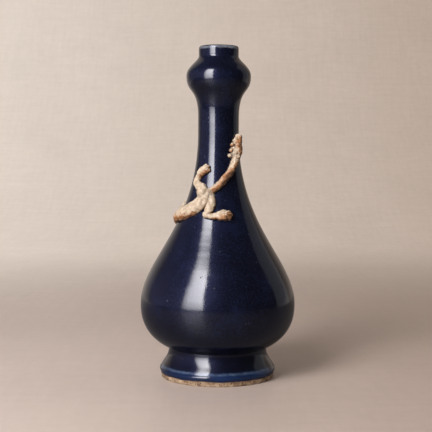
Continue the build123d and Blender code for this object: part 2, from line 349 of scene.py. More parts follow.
def glaze_coat(tree):
    """The cobalt glaze, near black, darkened toward the foot as painted shade, and pale where it
    thins over an edge.

    It also gives the three coordinates of the place.
    """
    spot = split(tree, own_place(tree))
    height = spot[2]
    deep = ramp(
        tree,
        noise(tree, 60.0, 5.0, 0.65),
        [
            (0.32, (0.0009, 0.0012, 0.0038)),
            (0.55, (0.0018, 0.0027, 0.0086)),
            (0.72, (0.0036, 0.0058, 0.0190)),
        ],
    )
    # Fine mottling, where the cobalt gathered in grains
    grain = ramp(tree, noise(tree, 800.0, 3.0, 0.75), [(0.5, 0.0), (0.72, 1.0)])
    mottled = blended(tree, times(tree, grain, 0.5), deep, (0.009, 0.015, 0.040, 1))
    # Painted shade: the glaze is made darker toward the foot, under the belly's overhang
    sunk = spread(tree, height, 0.012, 0.036)
    painted_foot_shade = times(tree, rest_of(tree, sunk), 0.65)
    mottled = blended(tree, painted_foot_shade, mottled, (0.0007, 0.0007, 0.0025, 1))
    # The glaze thins over the foot's ridge, over its roll and over the lip
    thin_noise = times(tree, off_centre(tree, noise(tree, 160.0, 3.0, 0.6)), 0.0016)
    level = sums(tree, "ADD", height, thin_noise)
    foot_level = spread(tree, level, 0.0, 0.016)
    roll_blue = ramp(
        tree, foot_level, [(0.2, 0.45), (0.32, 0.8), (0.45, 0.7), (0.55, 0.25), (0.68, 0.0)]
    )
    pooled = ramp(tree, noise(tree, 38.0, 2.0, 0.5), [(0.35, 0.45), (0.62, 1.0)])
    footed = blended(tree, times(tree, roll_blue, pooled), mottled, (0.008, 0.026, 0.088, 1))
    ridge = ramp(tree, foot_level, [(0.47, 0.0), (0.535, 1.0), (0.555, 1.0), (0.62, 0.0)])
    broken = ramp(tree, noise(tree, 220.0, 3.0, 0.7), [(0.35, 0.35), (0.65, 1.0)])
    ridged = blended(
        tree, times(tree, times(tree, ridge, broken), 0.6), footed, (0.085, 0.13, 0.21, 1)
    )
    lip_level = spread(tree, level, 0.2355, 0.2402)
    lip = ramp(
        tree, lip_level, [(0.38, 0.0), (0.55, 0.85), (0.76, 1.0), (0.86, 0.35), (0.94, 0.05)]
    )
    patches = ramp(tree, noise(tree, 70.0, 3.0, 0.6), [(0.36, 0.3), (0.62, 0.95)])
    lipped = blended(tree, times(tree, lip, patches), ridged, (0.19, 0.205, 0.235, 1))
    # A few pale specks
    off, lots = cells(tree, 420.0)
    near = sums(tree, "LESS_THAN", off, 0.16)
    pale = times(tree, near, sums(tree, "GREATER_THAN", lots[0], 0.975))
    specked = blended(tree, times(tree, pale, 0.5), lipped, (0.06, 0.065, 0.10, 1))
    # Pinholes left by gas that broke through the glaze, and the skin's faint orange peel
    off, lots = cells(tree, 230.0)
    pit = spread(tree, off, 0.05, 0.14, 1.0, 0.0, interpolation_type="SMOOTHSTEP")
    pits = times(tree, pit, sums(tree, "GREATER_THAN", lots[1], 0.88))
    pitted = blended(tree, times(tree, pits, 0.8), specked, (0.03, 0.025, 0.03, 1))
    frost = ramp(tree, noise(tree, 900.0, 2.0, 0.6), [(0.52, 0.0), (0.7, 1.0)])
    peel = noise(tree, 330.0, 2.0, 0.5)
    swell = noise(tree, 70.0, 1.0, 0.5)
    skin = sums(
        tree,
        "ADD",
        times(tree, peel, 0.000012),
        sums(
            tree,
            "SUBTRACT",
            times(tree, swell, 0.00008),
            sums(tree, "ADD", times(tree, pits, 0.00014), times(tree, frost, 0.000007)),
        ),
    )
    bump = bumps(tree, skin)
    worn = ramp(tree, noise(tree, 120.0, 5.0, 0.7), [(0.35, 0.07), (0.75, 0.16)])
    shader = knot(
        tree,
        "ShaderNodeBsdfPrincipled",
        {"Base Color": pitted, "Roughness": worn, "Normal": bump, "IOR": 1.5},
    )
    # Bubbles under the skin throw a faint blue haze round each highlight
    haze = knot(
        tree,
        "ShaderNodeBsdfGlossy",
        {"Color": (0.0056, 0.0061, 0.0150, 1), "Roughness": 0.42, "Normal": bump},
    )
    hazy = knot(tree, "ShaderNodeAddShader", {0: shader, 1: haze})
    return hazy, spot


def bare_clay(tree):
    """Stoneware that was wiped free of glaze: warm brown, gritty, with iron specks."""
    toned = ramp(
        tree,
        noise(tree, 260.0, 5.0, 0.7),
        [(0.34, (0.08, 0.04, 0.02)), (0.48, (0.26, 0.17, 0.10)), (0.68, (0.48, 0.37, 0.25))],
    )
    off, lots = cells(tree, 600.0)
    near = sums(tree, "LESS_THAN", off, 0.3)
    iron = times(tree, near, sums(tree, "GREATER_THAN", lots[0], 0.74))
    specked = blended(tree, times(tree, iron, 0.95), toned, (0.03, 0.016, 0.01, 1))
    grit = bumps(tree, times(tree, noise(tree, 1400.0, 4.0, 0.7), 0.00018))
    return knot(
        tree,
        "ShaderNodeBsdfPrincipled",
        {"Base Color": specked, "Roughness": 0.8, "Normal": grit},
    )


def finish_of(name):
    """An empty node material."""
    material = bpy.data.materials.new(name)
    material.use_nodes = True
    material.node_tree.nodes.clear()
    return material


glaze = finish_of("cobalt_glaze")
coat, _ = glaze_coat(glaze.node_tree)
knot(glaze.node_tree, "ShaderNodeOutputMaterial", {"Surface": coat})

dipped = finish_of("glaze_over_bare_foot")
tree = dipped.node_tree
coat, spot = glaze_coat(tree)
clay = bare_clay(tree)
glaze_edge, foot_inside = 0.0037, 0.0348
wave = times(tree, off_centre(tree, noise(tree, 55.0, 3.0, 0.6)), 0.0022)
level = sums(tree, "ADD", spot[2], wave)
above_line = sums(tree, "GREATER_THAN", level, glaze_edge)
# A brown line of iron runs along the glaze's edge
iron_line = spread(tree, level, 0.0029, 0.0036)
plain = clay.inputs["Base Color"].links[0].from_socket
edged = blended(tree, times(tree, iron_line, 0.75), plain, (0.07, 0.028, 0.012, 1))
tree.links.new(edged, clay.inputs["Base Color"])
reach = sums(
    tree, "SQRT", sums(tree, "ADD", times(tree, spot[0], spot[0]), times(tree, spot[1], spot[1]))
)
outside = sums(tree, "GREATER_THAN", reach, foot_inside)
glazed = times(tree, above_line, outside)
cover = knot(tree, "ShaderNodeMixShader", {0: glazed, 1: clay, 2: coat})
knot(tree, "ShaderNodeOutputMaterial", {"Surface": cover})

foot_waist, foot_ridge = (35.6, 21.5), (41.1, 8.4)
roll_middle, roll_foot = (42.2, 6.3), (41.5, 4.5)
rim_outside, rim_inside, recess_edge = (41.0, 1.0), (34.0, 0.0), (30.4, 21.5)
throw(
    "foot_ring_dipped",
    [
        *bow(foot_waist, (35.6, 15.0), (39.4, 12.0), foot_ridge, 22),
        *bow(foot_ridge, (41.5, 7.5), (42.2, 7.2), roll_middle, 8),
        *bow(roll_middle, (42.2, 5.4), (41.9, 4.6), roll_foot, 8),
        *straight(roll_foot, rim_outside, 6),
        *bow(rim_outside, (41.0, 0.45), (40.55, 0.0), (40.0, 0.0), 6),
        *straight((40.0, 0.0), rim_inside, 5),
        *bow(rim_inside, (34.0, 8.4), (30.4, 15.0), recess_edge, 12),
        *straight(recess_edge, foot_waist, 2),
    ],
    dipped,
    "foot_ring",
)


# --- Lower body -----------------------------------------------------------------------------
# The bowl under the widest ring, with the vase's floor. It is thrown in stoneware, luted on the
# foot with slip, and covered in the cobalt glaze.
widest, inside_widest = (56.3, 53.0), (51.7, 53.0)
floor_edge, floor_middle = (27.0, 28.5), (0.0, 28.5)
throw(
    "lower_body_bowl",
    [
        *bow(foot_waist, (49.4, 28.2), (56.3, 37.8), widest, 44),
        *straight(widest, inside_widest, 2),
        *bow(inside_widest, (51.7, 37.8), (43.0, 28.5), floor_edge, 30),
        *straight(floor_edge, floor_middle, 6),
        floor_middle,
        *straight((0.0, 21.5), foot_waist, 6),
    ],
    glaze,
    "lower_body",
)


# --- Upper body -----------------------------------------------------------------------------
# The shoulder, drawn up in one long sweep from the widest ring to the root of the neck. It is
# thrown in stoneware, luted rim to rim on the bowl, and covered in the cobalt glaze.
def sweep(a, b, c, d, low, high, steps):
    """Points along the stretch of a curve between two heights, the last left out."""

    def share(height):
        """How far along the curve a height lies, found by halving."""
        lo, hi = 0.0, 1.0
        rising = d[1] > a[1]
        for _ in range(50):
            mid = (lo + hi) / 2
            if (curve_point(a, b, c, d, mid)[1] < height) == rising:
                lo = mid
            else:
                hi = mid
        return lo

    t0, t1 = share(low), share(high)
    steps_up = [0.0, 0.002, *[i / steps for i in range(1, steps)], 0.998]
    return [curve_point(a, b, c, d, t0 + (t1 - t0) * step) for step in steps_up]


neck_joint, neck_root = 150.0, 177.5
neck_radius, neck_bore = 14.8, 10.7
shoulder = (widest, (widest[0], 86.2), (neck_radius, 108.5), (neck_radius, neck_root))
inside_shoulder = (
    (neck_bore, neck_root),
    (neck_bore, 108.5),
    (inside_widest[0], 86.2),
    inside_widest,
)
throw(
    "upper_body_shoulder",
    [
        *sweep(*shoulder, widest[1], neck_joint, 110),
        sweep(*shoulder, neck_joint, neck_root, 4)[0],
        *sweep(*inside_shoulder, neck_joint, widest[1], 70),
        inside_widest,
    ],
    glaze,
    "upper_body",
)


# --- Neck -----------------------------------------------------------------------------------
# The slim neck, up to the faint crease where the bulb was luted on. It is a thrown stoneware tube,
# luted on the shoulder with slip, and its cobalt glaze runs on over the joint.
neck_top, bulb_joint, bulb_middle = 189.0, 201.5, 218.4
bulb_radius, bulb_hollow = 23.4, 19.6
bulb_foot = (
    (neck_radius, neck_top),
    (neck_radius, 210.6),
    (bulb_radius, 205.6),
    (bulb_radius, bulb_middle),
)
inside_bulb_foot = (
    (bulb_hollow, bulb_middle),
    (bulb_hollow, 205.6),
    (neck_bore, 210.6),
    (neck_bore, neck_top),
)
throw(
    "neck_tube",
    [
        *sweep(*shoulder, neck_joint, neck_root, 40),
        *straight((neck_radius, neck_root), (neck_radius, neck_top), 10),
        *sweep(*bulb_foot, neck_top, bulb_joint, 20),
        sweep(*bulb_foot, bulb_joint, bulb_middle, 4)[0],
        *sweep(*inside_bulb_foot, bulb_joint, neck_top, 12),
        *straight((neck_bore, neck_top), (neck_bore, neck_root), 8),
        *sweep(*inside_shoulder, neck_root, neck_joint, 16),
        sweep(*inside_shoulder, neck_joint, widest[1], 4)[0],
    ],
    glaze,
    "neck",
)


# --- Garlic bulb ----------------------------------------------------------------------------
# The swelling below the mouth that gives the form its name. It is thrown by itself in stoneware,
# luted on the neck, and covered in the cobalt glaze.
collar_joint, collar_foot, mouth = 231.5, (14.4, 233.6), 11.4
bulb_head = ((bulb_radius, bulb_middle), (bulb_radius, 225.8), (13.7, 229.4), collar_foot)
inside_bulb_head = (
    (mouth, collar_joint),
    (mouth, 227.3),
    (bulb_hollow, 225.8),
    (bulb_hollow, bulb_middle),
)
throw(
    "garlic_bulb_swelling",
    [
        *sweep(*bulb_foot, bulb_joint, bulb_middle, 36),
        *sweep(*bulb_head, bulb_middle, collar_joint, 32),
        sweep(*bulb_head, collar_joint, collar_foot[1], 4)[0],
        *bow(*inside_bulb_head, 20),
        *sweep(*inside_bulb_foot, bulb_middle, bulb_joint, 20),
        sweep(*inside_bulb_foot, bulb_joint, neck_top, 4)[0],
    ],
    glaze,
    "garlic_bulb",
)


# --- Mouth collar ---------------------------------------------------------------------------
# The short straight collar of stoneware round the mouth, luted on the bulb. Its lip is rounded
# with a wet leather, and the cobalt glaze runs thin and pale there.
lip_outside, lip_top, lip_inside = (14.4, 238.5), (12.9, 240.0), (mouth, 238.5)
collar_seat = sweep(*bulb_head, collar_joint, collar_foot[1], 4)[0]
throw(
    "mouth_collar_lip",
    [
        *sweep(*bulb_head, collar_joint, collar_foot[1], 8),
        *bow(collar_foot, (14.44, 235.0), (14.45, 236.5), lip_outside, 8),
        *bow(lip_outside, (14.4, 239.4), (13.7, 240.0), lip_top, 8),
        *bow(lip_top, (12.1, 240.0), (mouth, 239.4), lip_inside, 8),
        *straight(lip_inside, (mouth, collar_joint), 8),
        *straight((mouth, collar_joint), collar_seat, 2),
    ],
    glaze,
    "mouth_collar",
)


# --- Dragon torso ---------------------------------------------------------------------------
# A thick roll of pale biscuit clay, laid slantwise round the left of the shoulder and pressed on
# while soft. The hips are its swollen end in front. It is left unglazed and fires cream and tan.
wall_line = np.stack(curve_point(*shoulder, np.linspace(0.0, 1.0, 1500)), axis=1)
wall_way = np.gradient(wall_line, axis=0)
wall_way /= np.linalg.norm(wall_way, axis=1)[:, None]


def wall_at(height):
    """Radius in mm of the shoulder at a height in mm, and its outward slope (out, up)."""
    radius, rise, run = (
        np.interp(height, wall_line[:, 1], column)
        for column in (wall_line[:, 0], wall_way[:, 1], -wall_way[:, 0])
    )
    return radius, rise, run


def on_wall(azimuth, height, lift):
    """The point in mm that stands lift off the shoulder."""
    radius, out, up = wall_at(height)
    turn = math.radians(azimuth)
    way = np.array((math.sin(turn), -math.cos(turn), 0.0))
    normal = way * out + np.array((0.0, 0.0, up))
    return way * radius + np.array((0.0, 0.0, height)) + normal * lift


def clay_rolls():
    """Geometry nodes that thicken lines of stations into soft, dented rolls of clay."""
    tree, given = open_group(
        "clay_rolls",
        "Stations",
        {
            "Voxel": 0.00022,
            "Smear": 3,
            "Finger Dents": 0.0011,
            "Pinches": 0.0006,
            "Grain": 0.00007,
            "Seed": 1.0,
        },
        "Clay",
    )
    lines = knot(tree, "GeometryNodeMeshToCurve", {"Mesh": given["Stations"]})
    bent = knot(tree, "GeometryNodeCurveSplineType", {"Curve": lines}, spline_type="CATMULL_ROM")
    dense = knot(
        tree, "GeometryNodeResampleCurve", {"Curve": bent, "Length": 0.00025}, mode="LENGTH"
    )
    beads = knot(tree, "GeometryNodeCurveToPoints", {"Curve": dense}, mode="EVALUATED")
    thick = knot(tree, "GeometryNodeInputNamedAttribute", {"Name": "thickness"}, data_type="FLOAT")
    cloud = knot(
        tree,
        "GeometryNodePointsToVolume",
        {
            "Points": beads.outputs["Points"],
            "Density": 1.0,
            "Voxel Size": given["Voxel"],
            "Radius": thick,
        },
        resolution_mode="VOXEL_SIZE",
    )
    skin = knot(tree, "GeometryNodeVolumeToMesh", {"Volume": cloud, "Threshold": 0.05})
    place = knot(tree, "GeometryNodeInputPosition")
    smeared = knot(
        tree,
        "GeometryNodeBlurAttribute",
        {"Value": place, "Iterations": given["Smear"]},
        data_type="FLOAT_VECTOR",
    )
    soft = knot(tree, "GeometryNodeSetPosition", {"Geometry": skin, "Position": smeared})
    swing = None
    for scale, detail, height in (
        (190.0, 1.0, given["Finger Dents"]),
        (400.0, 2.0, given["Pinches"]),
        (1500.0, 2.0, given["Grain"]),
    ):
        field = knot(
            tree,
            "ShaderNodeTexNoise",
            {"Vector": place, "W": given["Seed"], "Scale": scale, "Detail": detail},
            noise_dimensions="4D",
        )
        part = times(tree, times(tree, off_centre(tree, field), 2.0), height)
        swing = part if swing is None else sums(tree, "ADD", swing, part)
    push = knot(
        tree,
        "ShaderNodeVectorMath",
        {0: knot(tree, "GeometryNodeInputNormal"), "Scale": swing},
        operation="SCALE",
    )
    dented = knot(tree, "GeometryNodeSetPosition", {"Geometry": soft, "Offset": push})
    return close_group(tree, dented, given["Finish"], "Clay")


rolling = clay_rolls()


def attribute_of(tree, name):
    """A number stored on the mesh's points."""
    return knot(tree, "ShaderNodeAttribute", attribute_name=name).outputs["Fac"]


biscuit = finish_of("biscuit_clay")
tree = biscuit.node_tree
cream = ramp(
    tree,
    noise(tree, 420.0, 5.0, 0.7),
    [(0.3, (0.29, 0.205, 0.125)), (0.5, (0.43, 0.333, 0.235)), (0.7, (0.54, 0.445, 0.345))],
)
tan = ramp(
    tree,
    noise(tree, 500.0, 4.0, 0.65),
    [(0.3, (0.15, 0.05, 0.014)), (0.52, (0.36, 0.155, 0.052)), (0.75, (0.54, 0.30, 0.15))],
)
# The toast attribute carries painted shade on the side away from the key light, so the cream, tan
# and dark brown blend paints that shade too
toast_and_shade = sums(
    tree,
    "ADD",
    attribute_of(tree, "toasted"),
    times(tree, off_centre(tree, noise(tree, 230.0, 4.0, 0.65)), 1.3),
)
fired_and_shaded = blended(tree, ramp(tree, toast_and_shade, [(0.35, 0.0), (0.75, 1.0)]), cream, tan)
scorch_and_shade = ramp(tree, times(tree, toast_and_shade, 0.5), [(0.42, 0.0), (0.66, 0.88)])
scorched_and_shaded = blended(tree, scorch_and_shade, fired_and_shaded, (0.05, 0.02, 0.007, 1))
# Painted shade, partly iron stain: darker in the hollows, along the luted joints and where the
# clay meets the wall, wider on the side away from the key light
hollow = attribute_of(tree, "hollow")
hollow_shade_and_iron = ramp(tree, times(tree, hollow, 6.0), [(0.13, 0.0), (0.55, 0.92)])
joint_shade_and_iron = ramp(tree, attribute_of(tree, "crease"), [(0.05, 0.7), (0.3, 0.0)])
wall_shade_and_iron = ramp(tree, attribute_of(tree, "relief"), [(0.12, 0.97), (0.42, 0.0)])
shade_and_iron = sums(tree, "MAXIMUM", hollow_shade_and_iron, sums(tree, "MAXIMUM", joint_shade_and_iron, wall_shade_and_iron))
broken_up = ramp(tree, noise(tree, 420.0, 3.0, 0.7), [(0.35, 0.15), (0.6, 1.0)])
shaded_and_stained = blended(tree, times(tree, shade_and_iron, broken_up), scorched_and_shaded, (0.032, 0.014, 0.007, 1))
# Painted highlight: the convex ridges are made lighter where the clay is neither toasted nor
# shaded
ridge_highlight = ramp(tree, times(tree, hollow, -6.0), [(0.15, 0.0), (0.8, 0.5)])
untoasted_and_unshaded = ramp(tree, toast_and_shade, [(0.45, 1.0), (0.9, 0.12)])
ridge_lit_clay = blended(tree, times(tree, ridge_highlight, untoasted_and_unshaded), shaded_and_stained, (0.66, 0.55, 0.43, 1))
# A little ash glaze left in wet beads, lower in roughness, their whitish colour a painted glint
ash_beads_and_glints = ramp(tree, noise(tree, 560.0, 2.0, 0.5), [(0.66, 0.0), (0.70, 1.0)])
ash_and_glint = blended(tree, times(tree, ash_beads_and_glints, 0.5), ridge_lit_clay, (0.55, 0.53, 0.50, 1))
gritty = sums(
    tree,
    "ADD",
    times(tree, noise(tree, 2600.0, 3.0, 0.7), 0.00005),
    times(tree, noise(tree, 900.0, 3.0, 0.6), 0.00009),
)
rough = bumps(tree, gritty)
dull = sums(tree, "SUBTRACT", 0.62, times(tree, ash_beads_and_glints, 0.4))
clay_shader = knot(
    tree,
    "ShaderNodeBsdfPrincipled",
    {"Base Color": ash_and_glint, "Roughness": dull, "Normal": rough},
)
knot(tree, "ShaderNodeOutputMaterial", {"Surface": clay_shader})


def mesh_points(piece):
    """The piece's points in mm."""
    points = np.empty(len(piece.data.vertices) * 3)
    piece.data.attributes["position"].data.foreach_get("vector", points)
    return points.reshape(-1, 3) * 1000


def store(piece, name, values):
    """Keeps a number for each of the piece's points."""
    layer = piece.data.attributes.get(name) or piece.data.attributes.new(name, "FLOAT", "POINT")
    layer.data.foreach_set("value", np.ascontiguousarray(values, dtype=np.float32))


def weather(piece, stations):
    """Notes how deep, how far off the wall and how toasted each point of a clay piece is, with
    painted shade on the side away from the key light added to the last two.
    """
    points = mesh_points(piece)
    normals = np.empty(len(points) * 3)
    piece.data.vertex_normals.foreach_get("vector", normals)
    ends = np.empty(len(piece.data.edges) * 2, dtype=np.int32)
    piece.data.edges.foreach_get("vertices", ends)
    first, second = ends.reshape(-1, 2).T
    shared = np.bincount(first, minlength=len(points)) + np.bincount(second, minlength=len(points))
    smooth, smoothings = points.copy(), 14
    for _ in range(smoothings):
        pulled = np.stack(
            [
                np.bincount(first, smooth[second, k], len(points))
                + np.bincount(second, smooth[first, k], len(points))
                for k in range(3)
            ],
            axis=1,
        )
        smooth = pulled / np.maximum(shared, 1)[:, None]
    store(piece, "hollow", np.sum((smooth - points) * normals.reshape(-1, 3), axis=1))
    # Painted shade: the side of each roll that faces down and to the right, away from the key
    # light, is made browner, and its dark skirt along the wall is made wider
    away_from_key = normals.reshape(-1, 3) @ np.array((0.55, 0.0, -0.83))
    radius, out, _ = wall_at(points[:, 2])
    full_relief = 5.0
    off_wall = (np.hypot(points[:, 0], points[:, 1]) - radius) * out / full_relief
    store(piece, "relief", off_wall - 0.25 * away_from_key)
    middles, toasts = [], []
    for run in stations:
        for near, far in zip(run[:-1], run[1:]):
            for t in np.linspace(0, 1, 7):
                mixed = [(1 - t) * p + t * q for p, q in zip(near, far)]
                middles.append(on_wall(*mixed[:3]))
                toasts.append(mixed[4])
    middles, toasts = np.array(middles), np.array(toasts)
    nearest, at_once = np.empty(len(points), dtype=int), 4000
    for start in range(0, len(points), at_once):
        block = points[start : start + at_once, None] - middles[None]
        nearest[start : start + at_once] = np.argmin(np.sum(block**2, axis=2), axis=1)
    # The stored toast carries the painted shade on the side away from the key light
    store(piece, "toasted", toasts[nearest] + 0.75 * away_from_key)
    store(piece, "crease", np.ones(len(points)))


def mark_joint(one, other):
    """Notes on each of two pieces how close its points are to the other, as a share of 5 mm."""
    reach, margin = 5, 2
    for piece, near in ((one, other), (other, one)):
        points, others = mesh_points(piece), mesh_points(near)
        tree = KDTree(len(others))
        for i, point in enumerate(others):
            tree.insert(point, i)
        tree.balance()
        low, high = others.min(0) - margin, others.max(0) + margin
        close = np.all((points > low) & (points < high), axis=1)
        crease = np.empty(len(points), dtype=np.float32)
        piece.data.attributes["crease"].data.foreach_get("value", crease)
        for i in np.flatnonzero(close):
            crease[i] = min(crease[i], tree.find(points[i])[2] / reach)
        store(piece, "crease", crease)


# A core a little inside the wall, to which the clay is trimmed
core_low, core_bend, core_high, sunk = 92.0, 177.0, 186.0, 0.3
core_shape = throw(
    "wall_core",
    [
        *((reach - sunk, height) for reach, height in sweep(*shoulder, core_low, core_bend, 60)),
        (neck_radius - sunk, core_high),
        (0.0, core_high),
        (0.0, core_low),
    ],
    glaze,
    None,
)


def mould(name, node, rolls, pressed_on, seed, **settings):
    """Rolls clay through stations (azimuth, height, lift, radius, toasted) and presses it on.

    Sizes are in mm. The piece is trimmed to the wall and to the pieces that it is pressed on.
    """
    points, edges, thickness = [], [], []
    for run in rolls:
        edges += [(len(points) + i, len(points) + i + 1) for i in range(len(run) - 1)]
        points += [tuple(on_wall(*station[:3]) / 1000) for station in run]
        thickness += [station[3] / 1000 for station in run]
    mesh = bpy.data.meshes.new(name + "_stations")
    mesh.from_pydata(points, edges, [])
    mesh.attributes.new("thickness", "FLOAT", "POINT").data.foreach_set("value", thickness)
    worker = placed(name + "_stations", mesh)
    shaping = worker.modifiers.new("rolling", "NODES")
    shaping.node_group = rolling
    set_input(shaping, "Finish", biscuit)
    set_input(shaping, "Seed", float(seed))
    for title, value in settings.items():
        set_input(shaping, title.replace("_", " ").title(), value)
    for other in (core_shape, *pressed_on):
        cut = worker.modifiers.new("trim", "BOOLEAN")
        cut.operation, cut.solver, cut.object = "DIFFERENCE", "MANIFOLD", other
    piece = baked(name, worker)
    piece.data.materials.clear()
    piece.data.materials.append(biscuit)
    piece.data.shade_smooth()
    weather(piece, rolls)
    for other in pressed_on:
        mark_joint(piece, other)
    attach(piece, "root")
    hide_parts(node)
    return piece


torso = mould(
    "dragon_torso_roll",
    "dragon_torso",
    [
        [
            (-18.0, 134.4, 0.6, 3.6, 0.15),
            (-24.5, 130.0, 0.8, 4.8, 0.1),
            (-36.0, 125.4, 0.6, 5.0, 0.15),
            (-50.0, 121.9, 0.5, 5.0, 0.45),
            (-66.0, 119.0, 0.5, 4.8, 0.85),
            (-82.0, 116.8, 0.5, 4.2, 1.2),
            (-96.0, 115.2, 0.6, 3.3, 1.2),
        ],
    ],
    [],
    11,
)


# --- Dragon tail ----------------------------------------------------------------------------
# A thinner roll of biscuit clay that leaves the hips and climbs to the right, round the front of
# the shoulder. It is pressed on while soft, and its lower side is painted darker brown as shade.
tail = mould(
    "dragon_tail_roll",
    "dragon_tail",
    [
        [
            (-18.0, 134.8, 0.9, 2.5, 0.5),
            (-5.0, 138.0, 1.2, 2.6, 0.95),
            (6.5, 141.8, 1.2, 2.6, 1.15),
            (17.5, 145.8, 1.2, 2.6, 1.2),
            (28.5, 150.3, 1.2, 2.65, 1.05),
            (39.5, 154.9, 1.2, 2.8, 0.65),
            (47.0, 160.0, 1.2, 3.3, 0.4),
        ],
    ],
    [torso],
    12,
)


# --- Dragon tail tip ------------------------------------------------------------------------
# A leaf of biscuit clay at the tail's end, broad at its middle and pinched to a small round top.
# It is pressed on the right edge of the neck.
tail_tip = mould(
    "dragon_tail_leaf",
    "dragon_tail_tip",
    [
        [
            (47.5, 160.0, 1.0, 3.4, 0.4),
            (51.0, 163.6, 0.8, 4.4, 0.35),
            (53.0, 167.6, 0.8, 4.2, 0.85),
            (56.5, 171.4, 0.9, 3.3, 0.95),
            (62.0, 174.2, 1.2, 2.5, 0.7),
        ],
    ],
    [tail],
    13,
)


# --- Dragon tail curls ----------------------------------------------------------------------
# Small pellets of biscuit clay, which stand for the curls of the tail's leaf. They are pinched on
# along both of its edges.
def ball(azimuth, height, lift, radius, toasted):
    """Two stations a hair apart, which make a ball of clay."""
    return [(azimuth, height + hair, lift, radius, toasted) for hair in (0, 0.02)]


mould(
    "dragon_tail_pellets",
    "dragon_tail_curls",
    [
        ball(29.5, 161.2, 1.0, 1.5, -0.2),
        ball(35.0, 164.8, 1.0, 1.6, 0.8),
        ball(39.0, 168.8, 1.0, 1.6, 1.0),
        ball(70.0, 166.5, 1.2, 1.8, 0.6),
        ball(68.0, 170.8, 1.0, 1.8, 0.6),
    ],
    [tail, tail_tip],
    14,
    voxel=0.00014,
    finger_dents=0.0001,
    pinches=0.00008,
    grain=0.00005,
)


# --- Dragon upper hind leg ------------------------------------------------------------------
# The left thigh is a roll of biscuit clay that rises from the hips. The shank turns back up to
# the right, and its paw is a fist of three toes that curl down onto the wall.
def toes(shank, toasted):
    """Three toes fanned out from a shank's last station and curled down onto the wall."""
    (last_azimuth, last_height, *_), (azimuth, height, _, paw, _) = shank[-2:]
    radius, out, _ = wall_at(height)
    aside = math.radians(azimuth - last_azimuth) * radius
    heading = math.atan2(aside, (height - last_height) / out)
    thick = 0.36 * paw
    fan = []
    for turn in (-32, 0, 32):
        way = heading + math.radians(turn)
        run = []
        for share, lift in ((0.3, paw + 0.1), (0.7, 0.85 * paw), (0.95, 0.55 * paw), (1.0, 1.35)):
            reach = (paw + 0.2) * share
            around = math.degrees(math.sin(way) * reach / radius)
            run.append(
                (azimuth + around, height + math.cos(way) * reach * out, lift, thick, toasted)
            )
        fan.append(run)
    return fan


upper_hind_shank = [
    (-50.0, 141.0, 0.9, 2.3, 0.3),
    (-49.5, 144.8, 1.0, 2.1, 0.3),
    (-44.5, 147.6, 1.1, 2.4, 0.35),
    (-38.0, 149.8, 1.2, 3.2, 0.3),
    (-33.0, 150.8, 1.2, 3.4, 0.55),
]
mould(
    "dragon_upper_hind_leg_roll",
    "dragon_upper_hind_leg",
    [
        [
            (-26.0, 130.6, 0.9, 4.4, 0.05),
            (-29.0, 134.4, 1.0, 4.2, 0.05),
            (-34.0, 137.8, 0.9, 3.7, 0.1),
            (-43.0, 139.6, 0.8, 2.8, 0.2),
            (-50.0, 141.0, 0.9, 2.4, 0.3),
        ],
        upper_hind_shank,
        *toes(upper_hind_shank, 0.55),
    ],
    [torso],
    15,
)


# --- Dragon lower hind leg ------------------------------------------------------------------
# The right thigh, a roll of the same clay, drops from the hips and folds under. Its shank is
# pressed on to the right, out to a large fist that the kiln toasted orange at its end.
lower_hind_shank = [
    (-17.5, 119.6, 1.0, 2.6, 0.3),
    (-11.0, 118.2, 1.0, 2.1, 0.3),
    (-4.5, 118.4, 1.1, 2.2, 0.35),
    (2.0, 118.6, 1.2, 3.2, 0.6),
    (8.5, 118.6, 1.2, 4.0, 1.15),
]
mould(
    "dragon_lower_hind_leg_roll",
    "dragon_lower_hind_leg",
    [
        [
            (-17.5, 133.2, 0.8, 3.4, 0.1),
            (-12.0, 129.6, 1.0, 3.5, 0.1),
            (-13.0, 124.4, 1.0, 3.1, 0.15),
            (-17.5, 119.8, 1.0, 2.7, 0.25),
        ],
        lower_hind_shank,
        *toes(lower_hind_shank, 0.8),
    ],
    [torso, tail],
    16,
)


# --- Dragon neck ----------------------------------------------------------------------------
# The roll of biscuit clay that carries on from the torso round the back of the shoulder, unseen.
# It is luted to the torso's end and pressed on the wall.
nape = mould(
    "dragon_neck_roll",
    "dragon_neck",
    [
        [
            (-96.0, 116.0, 0.9, 3.5, 0.8),
            (-109.0, 114.0, 1.2, 3.2, 0.5),
            (-119.0, 114.2, 1.5, 3.0, 0.4),
            (-128.0, 116.4, 1.8, 2.9, 0.3),
            (-135.0, 120.4, 2.0, 3.0, 0.3),
        ],
    ],
    [torso],
    17,
)


# --- Dragon upper foreleg -------------------------------------------------------------------
# A thin roll of biscuit clay, pressed on the torso and on the wall. Its elbow just shows above
# the torso at the vase's left edge, and the rest lies behind.
upper_fore_shank = [
    (-116.0, 126.0, 0.8, 1.9, 0.5),
    (-124.0, 128.2, 0.9, 1.8, 0.4),
    (-129.0, 131.2, 0.9, 2.1, 0.4),
    (-130.0, 134.6, 0.9, 2.5, 0.5),
]
mould(
    "dragon_upper_foreleg_roll",
    "dragon_upper_foreleg",
    [
        [
            (-94.5, 118.0, 0.8, 3.0, 0.6),
            (-98.5, 121.6, 0.9, 2.3, 0.6),
            (-106.0, 124.0, 0.8, 2.0, 0.5),
            (-116.0, 126.0, 0.8, 2.0, 0.5),
        ],
        upper_fore_shank,
        *toes(upper_fore_shank, 0.5),
    ],
    [torso, nape],
    18,
)


